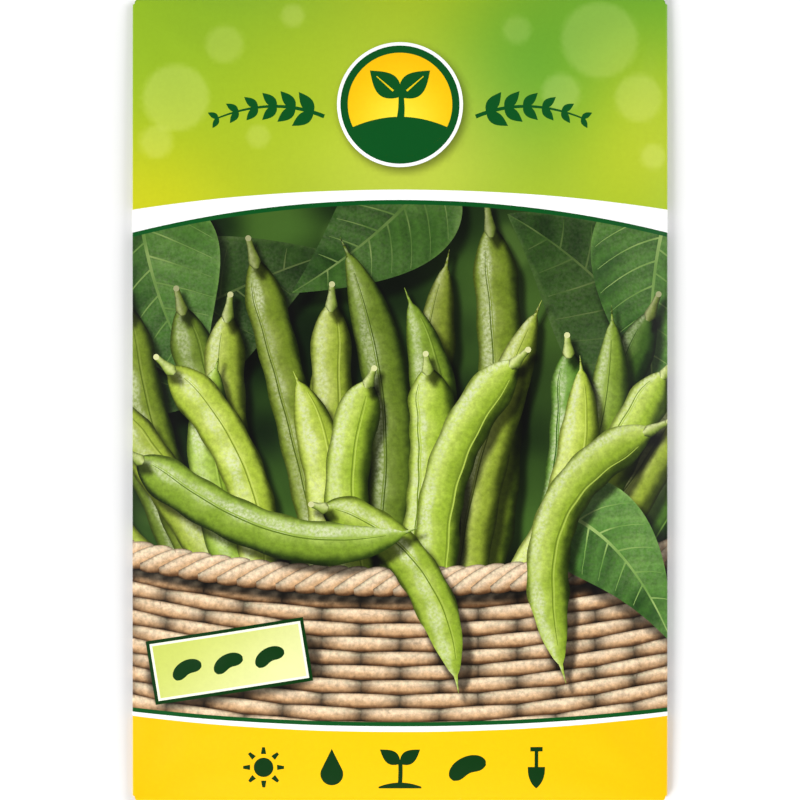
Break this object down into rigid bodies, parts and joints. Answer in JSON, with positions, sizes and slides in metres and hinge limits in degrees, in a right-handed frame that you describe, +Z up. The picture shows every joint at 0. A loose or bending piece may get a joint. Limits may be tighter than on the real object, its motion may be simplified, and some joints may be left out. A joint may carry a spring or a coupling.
{
  "type": "seed packet",
  "caption": "Flat paper seed packet with folded sides, a glued back seam and glued end flaps, filled with loose beans.",
  "frame": {"origin": "middle of the packet's footprint, on the surface that it lies on", "axes": "+Y towards the packet's top edge, +Z up out of the printed front, +X towards the front's right edge"},
  "size_m": [0.11, 0.165, 0.008],
  "materials": {
    "printed_paper": "satin",
    "dry_bean": "satin"
  },
  "bodies": {
    "root": {"bean_seed_01": "dry_bean", "bean_seed_02": "dry_bean", "bean_seed_03": "dry_bean", "bean_seed_04": "dry_bean", "bean_seed_05": "dry_bean", "bean_seed_06": "dry_bean", "bean_seed_07": "dry_bean", "bean_seed_08": "dry_bean", "bean_seed_09": "dry_bean", "bean_seed_10": "dry_bean", "bean_seed_11": "dry_bean", "bean_seed_12": "dry_bean", "bean_seed_13": "dry_bean", "bean_seed_14": "dry_bean", "bean_seed_15": "dry_bean", "bean_seed_16": "dry_bean", "bean_seed_17": "dry_bean", "bean_seed_18": "dry_bean", "bean_seed_19": "dry_bean", "bean_seed_20": "dry_bean", "bean_seed_21": "dry_bean", "bean_seed_22": "dry_bean", "bean_seed_23": "dry_bean", "bean_seed_24": "dry_bean", "bean_seed_25": "dry_bean", "bean_seed_26": "dry_bean", "bean_seed_27": "dry_bean", "bean_seed_28": "dry_bean", "bean_seed_29": "dry_bean", "bean_seed_30": "dry_bean", "bean_seed_31": "dry_bean", "bean_seed_32": "dry_bean", "bean_seed_33": "dry_bean", "bean_seed_34": "dry_bean", "bean_seed_35": "dry_bean", "bean_seed_36": "dry_bean", "bean_seed_37": "dry_bean", "bean_seed_38": "dry_bean", "bean_seed_39": "dry_bean", "bean_seed_40": "dry_bean", "bean_seed_41": "dry_bean", "bean_seed_42": "dry_bean", "bean_seed_43": "dry_bean", "bean_seed_44": "dry_bean", "paper_packet": "printed_paper"}
  },
  "joints": []
}
